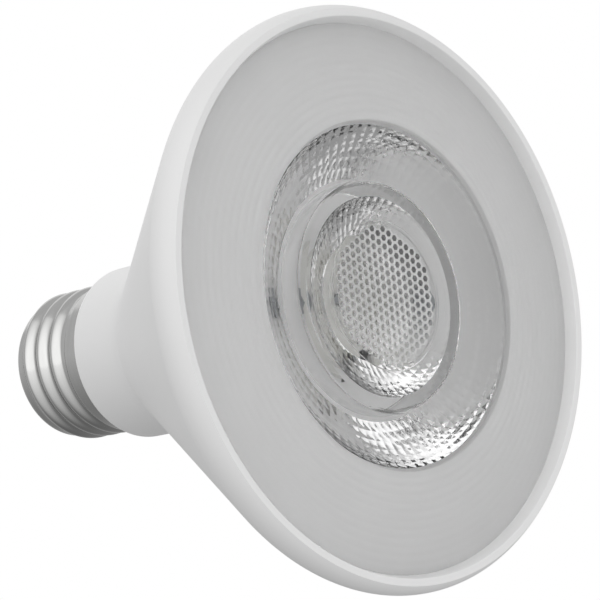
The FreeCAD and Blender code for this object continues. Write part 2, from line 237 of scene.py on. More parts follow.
@dataclass(frozen=True)
class ClearFinish:
    """Clear moulded plastic with polished faces: sharp reflections, and no colour of its own but a
    painted shade that can darken it towards one side.

    Args:
        name: the material's common name and how it was made.
        colour: sRGB hex colour of the light that goes through.
        roughness: roughness of the polished faces.
        ior: index of refraction.
        shade: sRGB hex colour of the painted shade on the far side, the same as colour where there is
            none.
        way: direction from the pale side to the side with the painted shade.
        reach: distance over which it turns from one to the other, in millimetres.
        flow: size of the faint changes in its gloss, in millimetres.
    """

    name: str
    colour: str
    roughness: float
    ior: float
    shade: str
    way: Triple = (1.0, 0.0, 0.0)
    reach: float = 20.0
    flow: float = 6.0

    def build(self) -> Material:
        """Makes the material.

        Returns:
            The material.
        """
        material, tree = new_material(self.name)
        shader = tree.nodes["Principled BSDF"]
        shader.inputs["Transmission Weight"].default_value = 1.0
        shader.inputs["IOR"].default_value = self.ior
        place = add_node(tree, "ShaderNodeTexCoord").outputs["Object"]
        # Painted shade: the colour turns from its own to the shade colour along one direction
        along = add_node(
            tree, "ShaderNodeVectorMath", {"operation": "DOT_PRODUCT"}, {0: place, 1: self.way}
        )
        half = self.reach / 2 * MM
        share = add_node(
            tree,
            "ShaderNodeMapRange",
            inputs={"Value": along.outputs["Value"], "From Min": -half, "From Max": half},
        )
        tone = add_node(
            tree,
            "ShaderNodeMix",
            {"data_type": "RGBA"},
            {0: share, COLOUR_A: linear(self.colour), COLOUR_B: linear(self.shade)},
        )
        waves = add_node(
            tree,
            "ShaderNodeTexNoise",
            inputs={"Vector": place, "Scale": pattern_scale(self.flow), "Detail": 1.0},
        )
        haze = add_node(tree, "ShaderNodeMapRange", inputs={"Value": waves, "To Max": self.roughness})
        tree.links.new(tone.outputs[COLOUR_RESULT], shader.inputs["Base Color"])
        tree.links.new(haze.outputs["Result"], shader.inputs["Roughness"])
        return material


# Moulded PBT: an even satin white with the faint orange peel of an etched mould
MOULDED_PBT = Finish("moulded white PBT", "#EBEBEB", "#E8E8E8", 0.42, 0.06, 0.9, 0.004, ior=1.52)
# Polished acrylic: nothing but reflections and what is seen through it
CLEAR_ACRYLIC = ClearFinish("polished clear acrylic", "#FDFDFD", 0.03, 1.49, "#FDFDFD")
# Polished acrylic of the cells, with painted shade: its colour turns dark grey towards one side,
# standing in for the small dark image of the LEDs that each cell shows
SHADE_PAINTED_CELL_ACRYLIC = ClearFinish(
    "polished acrylic cells", "#FBFBFB", 0.03, 1.49, "#4C4C4C", (0.62, -0.78, 0.0), 16.0
)
# Frosted acrylic: an etched mould face scatters the light to a soft even grey
FROSTED_ACRYLIC = Finish(
    "frosted acrylic", "#F3F3F3", "#F0F0F0", 0.55, 0.05, 0.5, 0.004, ior=1.49, transmission=0.6
)
# Nickel-plated brass, drawn and rolled: bright, with fine marks round the shell
NICKEL_PLATE = Finish(
    "rolled nickel plate", "#CFCFCE", "#C1C1C0", 0.16, 0.05, 0.5, 0.002, 9.0, metallic=1.0
)
# Glazed black insulator: glassy and dark
BLACK_INSULATOR = Finish("glazed black insulator", "#141416", "#1B1B1D", 0.12, 0.05, 2.0, 0.01, ior=1.5)
# Tinned contact: pale soft metal with small dents
TINNED_CONTACT = Finish("tinned contact", "#B9B7B2", "#A19F9A", 0.32, 0.1, 1.2, 0.03, metallic=1.0)
# Pressed aluminium under white powder coat: even satin white with a fine pebble
POWDER_COAT = Finish("white powder coat", "#F0F0F0", "#EDEDED", 0.45, 0.06, 0.6, 0.01, ior=1.52)
# White solder mask: smooth glossy lacquer on a thin board
WHITE_MASK = Finish("white solder mask", "#E6E6E2", "#E1E1DD", 0.3, 0.05, 0.7, 0.003, ior=1.5)
# LED package: matt white moulded resin
LED_RESIN = Finish("white LED resin", "#E9E9E4", "#E2E2DC", 0.5, 0.05, 0.3, 0.003, ior=1.5)
# Phosphor in silicone: a satin fill, dull grey-yellow while the lamp is off
PHOSPHOR = Finish("phosphor silicone", "#857F6E", "#7D7767", 0.45, 0.08, 0.15, 0.01, ior=1.41)
# Zinc-plated steel screws: bluish bright metal
ZINC_STEEL = Finish("zinc-plated steel", "#B7BABD", "#A5A9AD", 0.3, 0.08, 0.4, 0.006, metallic=1.0)
# Green solder mask: glassy lacquer with the weave below it just showing
GREEN_MASK = Finish("green solder mask", "#1D5A34", "#194E2D", 0.28, 0.06, 0.5, 0.006, ior=1.5)
# Moulded black phenolic bobbin: matt black
BLACK_PHENOLIC = Finish("moulded black phenolic", "#1E1E1E", "#252525", 0.5, 0.08, 0.5, 0.01, ior=1.55)
# Polyester winding tape: smooth yellow film wound round the coil
WINDING_TAPE = Finish(
    "yellow polyester tape", "#D8A92B", "#CE9D22", 0.28, 0.06, 1.0, 0.01, 6.0, ior=1.57
)
# Sintered ferrite: matt dark grey ceramic
FERRITE = Finish("sintered ferrite", "#3A3A3C", "#333335", 0.6, 0.1, 0.25, 0.02, ior=1.6)
# Shrunk PVC sleeve: glossy near-black film
PVC_SLEEVE = Finish("shrunk PVC sleeve", "#1D2126", "#23282E", 0.25, 0.06, 1.0, 0.01, ior=1.53)
# Epoxy-dipped film capacitor: glossy red-brown with soft runs
DIPPED_EPOXY = Finish("dipped red epoxy", "#8E2F22", "#7F281D", 0.25, 0.08, 1.5, 0.05, ior=1.55)
# Moulded brown fuse body: matt thermoplastic
BROWN_MOULDING = Finish(
    "moulded brown thermoplastic", "#4B382B", "#433126", 0.5, 0.06, 0.4, 0.01, ior=1.53
)
# Blue epoxy coat of the surge part: glossy and slightly lumpy
BLUE_EPOXY = Finish("blue epoxy coat", "#22508E", "#1D477F", 0.25, 0.08, 1.0, 0.05, ior=1.55)
# Moulded black epoxy of chips: matt with fine grain
BLACK_EPOXY = Finish("moulded black epoxy", "#202022", "#262628", 0.55, 0.06, 0.2, 0.01, ior=1.55)
# Thick-film resistor: black glaze on ceramic
RESISTOR_GLAZE = Finish("resistor glaze", "#2A2A2C", "#303033", 0.4, 0.06, 0.3, 0.006, ior=1.5)
# Wire insulation: smooth soft PVC
WHITE_PVC = Finish("white PVC insulation", "#DDDDD8", "#D5D5D0", 0.4, 0.05, 0.6, 0.01, ior=1.53)
BLACK_PVC = Finish("black PVC insulation", "#222224", "#28282A", 0.4, 0.05, 0.6, 0.01, ior=1.53)
GREY_PVC = Finish("grey PVC insulation", "#CFCFCD", "#C7C7C5", 0.4, 0.05, 0.6, 0.01, ior=1.53)


def rounded(corners: list[Corner]) -> list[Point]:
    """Outline through some corners, with an arc at each that has a radius.

    Args:
        corners: (radius from the axis, height) or (radius, height, corner radius), closed on itself.

    Returns:
        The outline's points.
    """
    points: list[Point] = []
    count = len(corners)
    for index, corner in enumerate(corners):
        here = Vector(corner[:2])
        fillet = corner[2] if len(corner) > 2 else 0.0
        if not fillet:
            points.append((here.x, here.y))
            continue
        back = (Vector(corners[index - 1][:2]) - here).normalized()
        ahead = (Vector(corners[(index + 1) % count][:2]) - here).normalized()
        half = back.angle(ahead) / 2
        centre = here + (back + ahead).normalized() * fillet / math.sin(half)
        start = here + back * fillet / math.tan(half) - centre
        sweep = start.angle_signed(here + ahead * fillet / math.tan(half) - centre)
        steps = max(2, math.ceil(abs(math.degrees(sweep)) / ARC_DEGREES))
        for place in range(steps + 1):
            spoke = Matrix.Rotation(-sweep * place / steps, 2) @ start
            points.append((centre.x + spoke.x, centre.y + spoke.y))
    return points


class Turning:
    """A mesh turned about the lamp's axis, in millimetres until it is finished."""

    def __init__(self) -> None:
        """Starts an empty mesh."""
        self.mesh = bmesh.new()

    def ring(self, radius: Radius, height: float, count: int = RING_POINTS) -> Ring:
        """Adds a level ring of points.

        Args:
            radius: the ring's radius, or a function that gives it for an angle.
            height: its place along the axis.
            count: how many points it has.

        Returns:
            The points in order.
        """
        points = []
        for index in range(count):
            angle = 2 * math.pi * index / count
            reach = radius(angle) if callable(radius) else radius
            place = (reach * math.cos(angle), reach * math.sin(angle), height)
            points.append(self.mesh.verts.new(place))
        return points

    def pole(self, height: float) -> Ring:
        """Adds one point on the axis."""
        return [self.mesh.verts.new((0, 0, height))]

    def band(self, first: Ring, second: Ring, finish: int = 0) -> None:
        """Joins two rings with as many points, or a ring and a pole.

        Args:
            first: one ring.
            second: the other ring, or a pole.
            finish: place of its material on the piece.
        """
        count = len(first)
        for index in range(count):
            after = (index + 1) % count
            corners = [first[index], first[after]]
            corners += second if len(second) == 1 else [second[after], second[index]]
            face = self.mesh.faces.new(corners)
            face.smooth = True
            face.material_index = finish

    def follow(self, last: Ring, line: list[Point], finish: int = 0) -> Ring:
        """Carries the surface on from a ring, one ring for each point of a line.

        Args:
            last: the ring it starts from.
            line: (radius, height) of each ring.
            finish: place of its material on the piece.

        Returns:
            The last ring.
        """
        for radius, height in line:
            ring = self.ring(radius, height)
            self.band(last, ring, finish)
            last = ring
        return last

    def land(self, outer: Ring, inner: Line) -> None:
        """Fills the flat between a ring and a closed line inside it.

        Args:
            outer: the ring.
            inner: the edges of the line.
        """
        edges = self.edges(outer) + inner
        bmesh.ops.triangle_fill(self.mesh, edges=edges, use_beauty=True, normal=(0, 0, 1))

    def edges(self, ring: Ring) -> Line:
        """Edges of a closed ring, new where the ring has none yet."""
        pairs = zip(ring, ring[1:] + ring[:1])
        return [self.mesh.edges.get(pair) or self.mesh.edges.new(pair) for pair in pairs]

    def shell(self, outline: list[Point]) -> None:
        """Turns a closed outline into a closed shell."""
        rings = [self.ring(radius, height) for radius, height in outline]
        for first, second in zip(rings, rings[1:] + rings[:1]):
            self.band(first, second)

    def box(self, low: Triple, high: Triple, edge: float) -> None:
        """Adds a box with worn edges between two corners."""
        size = Vector(high) - Vector(low)
        place = Matrix.Translation((Vector(high) + Vector(low)) / 2) @ Matrix.Diagonal(size).to_4x4()
        made = bmesh.ops.create_cube(self.mesh, size=1, matrix=place)
        edges = {line for corner in made["verts"] for line in corner.link_edges}
        bmesh.ops.bevel(self.mesh, geom=list(edges), offset=edge, segments=2, affect="EDGES")

    def hand_over(self, name: str, finishes: list[Material], slot: str, *nodes: str) -> None:
        """Turns the mesh to metres, makes a piece of it and gives it to the frame.

        Args:
            name: the piece's name.
            finishes: its materials, in the order the faces count them.
            slot: the slot it belongs to; not used.
            nodes: the frame's nodes that it stands for.
        """
        bmesh.ops.recalc_face_normals(self.mesh, faces=self.mesh.faces)
        for edge in self.mesh.edges:
            if len(edge.link_faces) == 2 and edge.calc_face_angle() > SHARP_EDGE:
                edge.smooth = False
        bmesh.ops.scale(self.mesh, vec=(MM, MM, MM), verts=self.mesh.verts)
        data = bpy.data.meshes.new(name)
        self.mesh.to_mesh(data)
        self.mesh.free()
        for finish in finishes:
            data.materials.append(finish)
        LOG.info("%s: %d faces", name, len(data.polygons))
        piece = add_object(name, data)
        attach(piece, "root")
        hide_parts(*nodes)


@dataclass
class Housing:
    """White moulded shell: rim, cone, neck and the spigot of the screw base."""

    rim_radius: float = 47.28
    rim_height: float = 3.0
    rim_steps: int = 20
    land_inner: float = 44.9
    land_outer: float = 46.1
    cone_angle: float = 35.4
    cone_foot: Point = (46.45, 5.50)
    neck_radius: float = 14.9
    neck_end: float = 61.4
    neck_blend: float = 9.0
    neck_edge: float = 0.8
    wall: float = 1.8
    seat_radius: float = 44.2
    seat_height: float = 3.8
    seat_depth: float = 2.0
    ledge_radius: float = 42.6
    spigot_radius: float = 12.0
    spigot_bore: float = 10.6
    spigot_end: float = 72.4
    edge: float = 0.25
    guide_inner: float = 9.5
    guide_outer: float = 13.6
    guide_length: float = 12.0
    guide_low: float = -5.7
    guide_high: float = -0.3
    slot_low: float = -3.7
    slot_high: float = -2.3
    slot_reach: float = 11.6

    def cone_height(self, radius: float) -> float:
        """Height at which the cone's outer face has a radius."""
        slope = math.tan(math.radians(self.cone_angle))
        return self.cone_foot[1] + (self.cone_foot[0] - radius) / slope

    def rim(self) -> list[Point]:
        """Arc of the rim from its front land round to the cone.

        Returns:
            The arc's points, front first.
        """
        side = self.rim_radius - self.land_outer
        bend = (side**2 + self.rim_height**2) / (2 * side)
        start = -math.asin(self.rim_height / bend)
        end = math.radians(self.cone_angle)
        centre = self.rim_radius - bend
        points = []
        for step in range(self.rim_steps + 1):
            turn = start + (end - start) * step / self.rim_steps
            points.append((centre + bend * math.cos(turn), self.rim_height + bend * math.sin(turn)))
        return points

    def build(self) -> None:
        """Makes the shell and hands it over."""
        inset = self.wall / math.cos(math.radians(self.cone_angle))
        neck_bore = self.neck_radius - self.wall
        shoulder = self.neck_end - self.wall
        corners: list[Corner] = [(self.land_inner, 0, self.edge)]
        corners += self.rim()
        corners += [
            (self.neck_radius, self.cone_height(self.neck_radius), self.neck_blend),
            (self.neck_radius, self.neck_end, self.neck_edge),
            (self.spigot_radius, self.neck_end),
            (self.spigot_radius, self.spigot_end),
            (self.spigot_bore, self.spigot_end),
            (self.spigot_bore, shoulder),
            (neck_bore, shoulder),
            (neck_bore, self.cone_height(neck_bore + inset)),
            (self.ledge_radius, self.cone_height(self.ledge_radius + inset)),
            (self.ledge_radius, self.seat_height),
            (self.seat_radius, self.seat_height),
            (self.seat_radius, self.seat_depth),
        ]
        turning = Turning()
        turning.shell(rounded(corners))
        start = shoulder - self.guide_length
        for side in (-1, 1):
            for low, high, reach in (
                (self.guide_low, self.slot_low, self.guide_inner),
                (self.slot_high, self.guide_high, self.guide_inner),
                (self.slot_low, self.slot_high, self.slot_reach),
            ):
                across = math.sqrt(self.guide_outer**2 - max(abs(low), abs(high)) ** 2)
                left, right = sorted((side * reach, side * across))
                turning.box((left, low, start), (right, high, shoulder), self.edge)
        turning.hand_over("housing_shell", [MOULDED_PBT.build()], "white_plastic", "housing")


@dataclass
class FacetedWall:
    """Ring of small pillowed facets that turns the light forward, bulging between its two ends."""

    top: Point
    foot: Point
    bulge: float
    sides: int
    rows: int
    pillow: float
    cuts: int = 4

    def radius(self, angle: float, height: float, start: float) -> float:
        """Radius of the wall at an angle and a height.

        Args:
            angle: angle round the axis.
            height: height on the axis.
            start: height of the first row's top.

        Returns:
            The radius, with the pillow of the facet that is there.
        """
        share = (height - self.top[1]) / (self.foot[1] - self.top[1])
        straight = self.top[0] + (self.foot[0] - self.top[0]) * share
        curve = straight + self.bulge * math.sin(math.pi * share)
        across = abs(math.sin(angle * self.sides / 2))
        along = abs(math.sin(math.pi * self.rows * (height - start) / (self.foot[1] - start)))
        return curve + self.pillow * (across * along - 1)

    def build(self, turning: Turning, start: float) -> tuple[Ring, Ring]:
        """Adds the wall's rows of facets.

        Args:
            turning: the mesh that gets them.
            start: height of the first row's top.

        Returns:
            The wall's first and last ring.
        """
        step = (self.foot[1] - start) / (self.rows * self.cuts)
        rings = []
        for row in range(self.rows * self.cuts + 1):
            height = start + step * row
            reach = partial(self.radius, height=height, start=start)
            rings.append(turning.ring(reach, height, self.sides * self.cuts))
        for first, second in zip(rings, rings[1:]):
            turning.band(first, second)
        for row in range(0, len(rings), self.cuts):
            for edge in turning.edges(rings[row]):
                edge.smooth = False
        for first, second in zip(rings, rings[1:]):
            for column in range(0, len(first), self.cuts):
                turning.mesh.edges.get((first[column], second[column])).smooth = False
        return rings[0], rings[-1]


@dataclass
class Honeycomb:
    """Disc of six-sided dimples, each a shallow dome, that spreads the middle of the beam."""

    radius: float = 11.3
    pitch: float = 1.44
    depth: float = 0.35
    floor_share: float = 0.5
    edge_share: float = 0.125
    corners: int = 6
    steps: int = 3
    merge: float = 0.01

    def centres(self) -> list[Triple]:
        """Centres of the cells inside the disc, in columns along y."""
        column_step = self.pitch * math.sqrt(3) / 2
        reach = self.radius - self.pitch * self.edge_share
        columns = int(reach / column_step)
        rows = int(reach / self.pitch) + 1
        places = []
        for column in range(-columns, columns + 1):
            shift = self.pitch / 2 if column % 2 else 0
            for row in range(-rows, rows + 1):
                place = (column * column_step, row * self.pitch + shift, 0.0)
                if math.hypot(*place) < reach:
                    places.append(place)
        return places

    def tree(self) -> Tree:
        """Node tree that sets one domed cell on every point it is given.

        Returns:
            The tree, with named inputs for the cell's sizes.
        """
        tree = bpy.data.node_groups.new("honeycomb cells", "GeometryNodeTree")
        face = tree.interface
        sizes = {"Cell radius": "Float", "Cell depth": "Float"}
        for name, kind in {"Geometry": "Geometry", **sizes, "Finish": "Material"}.items():
            face.new_socket(name, in_out="INPUT", socket_type=f"NodeSocket{kind}")
        face.new_socket("Geometry", in_out="OUTPUT", socket_type="NodeSocketGeometry")
        given = add_node(tree, "NodeGroupInput")
        radius = given.outputs["Cell radius"]
        depth = given.outputs["Cell depth"]
        cell = add_node(
            tree,
            "GeometryNodeMeshCone",
            {"fill_type": "NONE"},
            {
                "Vertices": self.corners,
                "Side Segments": self.steps,
                "Radius Top": 0.0,
                "Radius Bottom": radius,
                "Depth": depth,
            },
        )
        place = add_node(tree, "GeometryNodeInputPosition")
        apart = add_node(tree, "ShaderNodeSeparateXYZ", inputs={0: place})
        flat = {"X": apart.outputs["X"], "Y": apart.outputs["Y"]}
        level = add_node(tree, "ShaderNodeCombineXYZ", inputs=flat)
        reach = add_node(tree, "ShaderNodeVectorMath", {"operation": "LENGTH"}, {0: level})
        share = add_node(
            tree, "ShaderNodeMath", {"operation": "DIVIDE"}, {0: reach.outputs["Value"], 1: radius}
        )
        square = add_node(tree, "ShaderNodeMath", {"operation": "MULTIPLY"}, {0: share, 1: share})
        left = add_node(tree, "ShaderNodeMath", {"operation": "SUBTRACT"}, {0: 1.0, 1: square})
        height = add_node(tree, "ShaderNodeMath", {"operation": "MULTIPLY"}, {0: left, 1: depth})
        dome = add_node(tree, "ShaderNodeCombineXYZ", inputs={**flat, "Z": height})
        domed = add_node(tree, "GeometryNodeSetPosition", inputs={"Geometry": cell, "Position": dome})
        copies = add_node(
            tree,
            "GeometryNodeInstanceOnPoints",
            inputs={"Points": given.outputs["Geometry"], "Instance": domed},
        )
        real = add_node(tree, "GeometryNodeRealizeInstances", inputs={0: copies})
        joined = add_node(tree, "GeometryNodeMergeByDistance", inputs={0: real, "Distance": self.merge})
        dressed = add_node(
            tree,
            "GeometryNodeSetMaterial",
            inputs={"Geometry": joined, "Material": given.outputs["Finish"]},
        )
        add_node(tree, "NodeGroupOutput", inputs={0: dressed})
        return tree

    def mesh(self, finish: Material) -> bpy.types.Mesh:
        """Makes the cells, in millimetres, their rims at height 0 and the outer ones cut to the disc.

        Args:
            finish: material of the cells.

        Returns:
            The merged mesh.
        """
        points = bpy.data.meshes.new("cell centres")
        points.from_pydata(self.centres(), [], [])
        carrier = add_object("cell centres", points)
        maker = carrier.modifiers.new("cells", "NODES")
        maker.node_group = self.tree()
        wanted = {"Cell radius": self.pitch / math.sqrt(3), "Cell depth": self.depth, "Finish": finish}
        for socket in maker.node_group.interface.items_tree:
            if socket.name in wanted:
                maker[socket.identifier] = wanted[socket.name]
        view = bpy.context.evaluated_depsgraph_get()
        cells = bpy.data.meshes.new_from_object(carrier.evaluated_get(view))
        bpy.data.objects.remove(carrier)
        for corner in cells.vertices:
            reach = corner.co.xy.length
            if reach > self.radius:
                corner.co.xy *= self.radius / reach
        return cells


@dataclass
class FrontLens:
    """Moulded lens: frosted ring, clear optic with two faceted walls, and honeycomb disc."""

    radius: float = 44.19
    edge_front: float = 2.0
    edge_back: float = 3.76
    edge: float = 0.06
    seat_width: float = 1.5
    clear_radius: float = 28.2
    face: float = 0.3
    back: float = 2.2
    crown: float = 0.2
    ripple: float = 0.06
    ripple_pitch: float = 1.35
    ripple_rise: float = 12.0
    ripple_fall: float = 0.7
    recess_radius: float = 19.0
    recess_floor: float = 1.75
    recess_edge: float = 0.12
    bead_width: float = 0.5
    bead_rise: float = 0.22
    bead_edge: float = 0.1
    foot: float = 10.9
    outer_foot: float = 19.75
    outer_land: float = 18.95
    groove_top: float = 4.2
    groove_edge: float = 0.5
    groove_bend: float = 0.15
    inner_top: float = 17.2
    inner_foot: float = 10.6
    cavity_radius: float = 9.0
    cavity_top: float = 5.3
    cavity_sag: float = 1.4
    dome_rings: int = 150
    cavity_rings: int = 24
    comb: Honeycomb = field(default_factory=Honeycomb)

    def front_height(self, radius: float) -> float:
        """Height of the frosted ring's front face, gently crowned, with ripples that fade outwards.

        Args:
            radius: place on the ring.

        Returns:
            The height in millimetres.
        """
        share = (radius - self.clear_radius) / (self.radius - self.clear_radius)
        straight = self.face + (self.edge_front - self.face) * share
        wave = math.sin(2 * math.pi * (radius - self.clear_radius) / self.ripple_pitch)
        fade = min(1.0, share * self.ripple_rise) * max(0.0, 1 - share) ** self.ripple_fall
        return straight - 4 * self.crown * share * (1 - share) - self.ripple * wave * fade

    def outer_wall(self) -> FacetedWall:
        """The wall from the frosted ring back to the outer foot."""
        top = (self.clear_radius, (self.face + self.back) / 2)
        return FacetedWall(top, (self.outer_foot, self.foot), bulge=0.9, sides=84, rows=6, pillow=0.07)

    def inner_wall(self) -> FacetedWall:
        """The wall from the recess back to the inner foot."""
        top = (self.inner_top, (self.recess_floor + self.groove_top) / 2)
        return FacetedWall(top, (self.inner_foot, self.foot), bulge=0.7, sides=60, rows=5, pillow=0.07)

    def build_disc(self, turning: Turning, clear: Material) -> Ring:
        """Adds the honeycomb disc.

        Args:
            turning: the mesh that gets it.
            clear: material of its cells, until their inner faces get their own.

        Returns:
            The ring round the disc.
        """
        turning.mesh.from_mesh(self.comb.mesh(clear))
        bmesh.ops.translate(turning.mesh, verts=turning.mesh.verts, vec=(0, 0, self.recess_floor))
        floor = self.recess_floor + self.comb.depth * self.comb.floor_share
        for face in turning.mesh.faces:
            face.smooth = True
            if face.calc_center_median().z > floor:
                face.material_index = LensFace.CELL.value
        rim = [edge for edge in turning.mesh.edges if edge.is_boundary]
        disc = turning.ring(self.comb.radius + self.recess_edge, self.recess_floor)
        turning.land(disc, rim)
        return disc

    def build_front(self, turning: Turning, disc: Ring) -> Ring:
        """Adds the bead, the recess, the clear face, the frosted ring and its edge.

        Args:
            turning: the mesh that gets them.
            disc: the ring round the honeycomb disc.

        Returns:
            The last ring, behind the frosted ring.
        """
        bead = self.comb.radius + self.recess_edge * 2
        outside = bead + self.bead_width
        # The corner on the axis only closes the outline, and is left out again
        recess = rounded(
            [
                (bead, self.recess_floor - self.bead_rise, self.bead_edge),
                (outside, self.recess_floor - self.bead_rise, self.bead_edge),
                (outside + self.recess_edge, self.recess_floor - self.recess_edge, self.bead_edge),
                (self.recess_radius, self.face, self.recess_edge),
                (self.clear_radius, self.face),
                (0, self.face),
            ]
        )[:-1]
        last = turning.follow(disc, recess)
        step = (self.radius - self.edge - self.clear_radius) / self.dome_rings
        radii = [self.clear_radius + step * index for index in range(1, self.dome_rings + 1)]
        line = [(radius, self.front_height(radius)) for radius in radii]
        line += [
            (self.radius, self.edge_front + self.edge),
            (self.radius, self.edge_back - self.edge),
            (self.radius - self.edge, self.edge_back),
            (self.radius - self.seat_width, self.edge_back),
            (self.clear_radius, self.back),
        ]
        return turning.follow(last, line, LensFace.FROSTED.value)

    def build_back(self, turning: Turning, last: Ring) -> None:
        """Adds the two faceted walls, the groove between them and the cavity for the LEDs.

        Args:
            turning: the mesh that gets them.
            last: the ring behind the frosted ring.
        """
        first, foot = self.outer_wall().build(turning, self.back)
        turning.land(last, turning.edges(first))
        land = turning.ring(self.outer_land, self.foot)
        turning.land(foot, turning.edges(land))
        groove = [
            (self.outer_land, self.groove_top + self.groove_edge),
            (self.outer_land - self.groove_bend, self.groove_top + self.groove_bend),
            (self.outer_land - self.groove_edge, self.groove_top),
        ]
        last = turning.follow(land, groove)
        first, foot = self.inner_wall().build(turning, self.groove_top)
        turning.land(last, turning.edges(first))
        land = turning.ring(self.cavity_radius, self.foot)
        turning.land(foot, turning.edges(land))
        shares = [1 - index / self.cavity_rings for index in range(self.cavity_rings)]
        cavity = [
            (self.cavity_radius * share, self.cavity_top + self.cavity_sag * (1 - share**2))
            for share in shares
        ]
        last = turning.follow(land, cavity)
        turning.band(last, turning.pole(self.cavity_top + self.cavity_sag))

    def build(self) -> None:
        """Makes the lens and hands it over."""
        clear = CLEAR_ACRYLIC.build()
        turning = Turning()
        disc = self.build_disc(turning, clear)
        last = self.build_front(turning, disc)
        self.build_back(turning, last)
        materials = [clear, FROSTED_ACRYLIC.build(), SHADE_PAINTED_CELL_ACRYLIC.build()]
        turning.hand_over("lens_moulding", materials, "lens_plastic", "front_lens")


@dataclass
class ScrewBase:
    """Rolled screw shell, insulator and centre contact."""

    skirt_start: float = 61.4
    skirt_end: float = 66.0
    crest_radius: float = 13.2
    root_radius: float = 12.35
    pitch: float = 25.4 / 7
    turns: float = 3.0
    run_in: float = 0.14
    thread_start: float = 67.35
    shoulder: float = 78.8
    end: float = 80.6
    mouth: float = 9.4
    mouth_share: float = 0.8
    wall: float = 0.35
    bore: float = 12.0
    blend: float = 0.7
    row_step: float = 0.12
    insulator_start: float = 78.65
    insulator_fit: float = 0.02
    insulator_edge: float = 0.4
    insulator_land: float = 1.2
    insulator_drop: float = 0.4
    insulator_bend: float = 1.5
    seat_edge: float = 0.3
    contact_seat: float = 84.0
    contact_radius: float = 4.6
    contact_end: float = 86.5
    contact_edge: float = 0.2
    contact_rise: float = 1.3
    contact_bend: float = 0.5
    crown_drop: float = 0.5
    crown_bend: float = 1.2
    crown_flat: float = 1.2
    crown_edge: float = 1.0
    stem_radius: float = 2.6

    def tooth(self, angle: float, height: float) -> float:
        """How far the rolled thread stands out of its root at a place on the shell.

        Args:
            angle: angle round the axis.
            height: height on the axis.

        Returns:
            The rise in millimetres.
        """
        lead = (height - self.thread_start) / self.pitch - angle / (2 * math.pi)
        turn = round(lead)
        along = angle / (2 * math.pi) + turn
        fade = clamp((along + self.run_in) / self.run_in)
        fade *= clamp((self.turns + self.run_in - along) / self.run_in)
        rise = (self.crest_radius - self.root_radius) * (1 + math.cos(2 * math.pi * (lead - turn))) / 2
        return rise * ease(fade)

    def plain_radius(self, height: float) -> float:
        """Radius of the shell without its thread."""
        fall = ease(clamp((height - self.skirt_end + self.blend) / (2 * self.blend)))
        skirt = self.crest_radius - (self.crest_radius - self.root_radius) * fall
        over = clamp((height - self.shoulder) / (self.end - self.shoulder))
        return skirt - (self.root_radius - self.mouth) * (1 - math.sqrt(1 - over**2)) * self.mouth_share

    def outer_radius(self, angle: float, height: float) -> float:
        """Radius of the shell's outer face at an angle and a height."""
        return min(self.plain_radius(height) + self.tooth(angle, height), self.crest_radius)

    def build_shell(self) -> None:
        """Makes the threaded shell and hands it over."""
        turning = Turning()
        length = self.end - self.skirt_start
        rows = round(length / self.row_step)
        heights = [self.skirt_start + length * row / rows for row in range(rows + 1)]
        rings = [turning.ring(partial(self.outer_radius, height=height), height) for height in heights]
        inside = [
            (self.mouth, self.end),
            (self.mouth, self.end - self.wall),
            (self.bore, self.shoulder - self.wall),
            (self.bore, self.skirt_end),
            (self.crest_radius - self.wall, self.skirt_end - self.blend),
            (self.crest_radius - self.wall, self.skirt_start),
        ]
        rings += [turning.ring(radius, height) for radius, height in inside]
        for first, second in zip(rings, rings[1:] + rings[:1]):
            turning.band(first, second)
        turning.hand_over("threaded_shell", [NICKEL_PLATE.build()], "plated_metal", "screw_shell")

    def build_insulator(self) -> None:
        """Makes the insulator and hands it over."""
        side = self.mouth - self.insulator_fit
        shoulder = self.contact_radius + self.insulator_land
        corners: list[Corner] = [
            (self.stem_radius, self.insulator_start),
            (side, self.insulator_start),
            (side, self.end, self.insulator_edge),
            (shoulder, self.contact_seat - self.insulator_drop, self.insulator_bend),
            (self.contact_radius, self.contact_seat, self.seat_edge),
            (self.stem_radius, self.contact_seat),
        ]
        turning = Turning()
        turning.shell(rounded(corners))
        materials = [BLACK_INSULATOR.build()]
        turning.hand_over("insulator_cone", materials, "insulator_black", "base_insulator")

    def build_contact(self) -> None:
        """Makes the centre contact, a cap with a soft solder crown, and hands it over."""
        corners: list[Corner] = [
            (0, self.insulator_start),
            (self.stem_radius, self.insulator_start),
            (self.stem_radius, self.contact_seat),
            (self.contact_radius, self.contact_seat, self.contact_edge),
            (self.contact_radius, self.contact_seat + self.contact_rise, self.contact_bend),
            (self.stem_radius, self.contact_end - self.crown_drop, self.crown_bend),
            (self.crown_flat, self.contact_end, self.crown_edge),
            (0, self.contact_end),
        ]
        outline = rounded(corners)
        turning = Turning()
        first = turning.ring(*outline[1])
        turning.band(first, turning.pole(self.insulator_start))
        last = turning.follow(first, outline[2:-1])
        turning.band(last, turning.pole(self.contact_end))
        turning.hand_over("contact_cap", [TINNED_CONTACT.build()], "contact_metal", "centre_contact")

    def build(self) -> None:
        """Makes the whole base."""
        self.build_shell()
        self.build_insulator()
        self.build_contact()


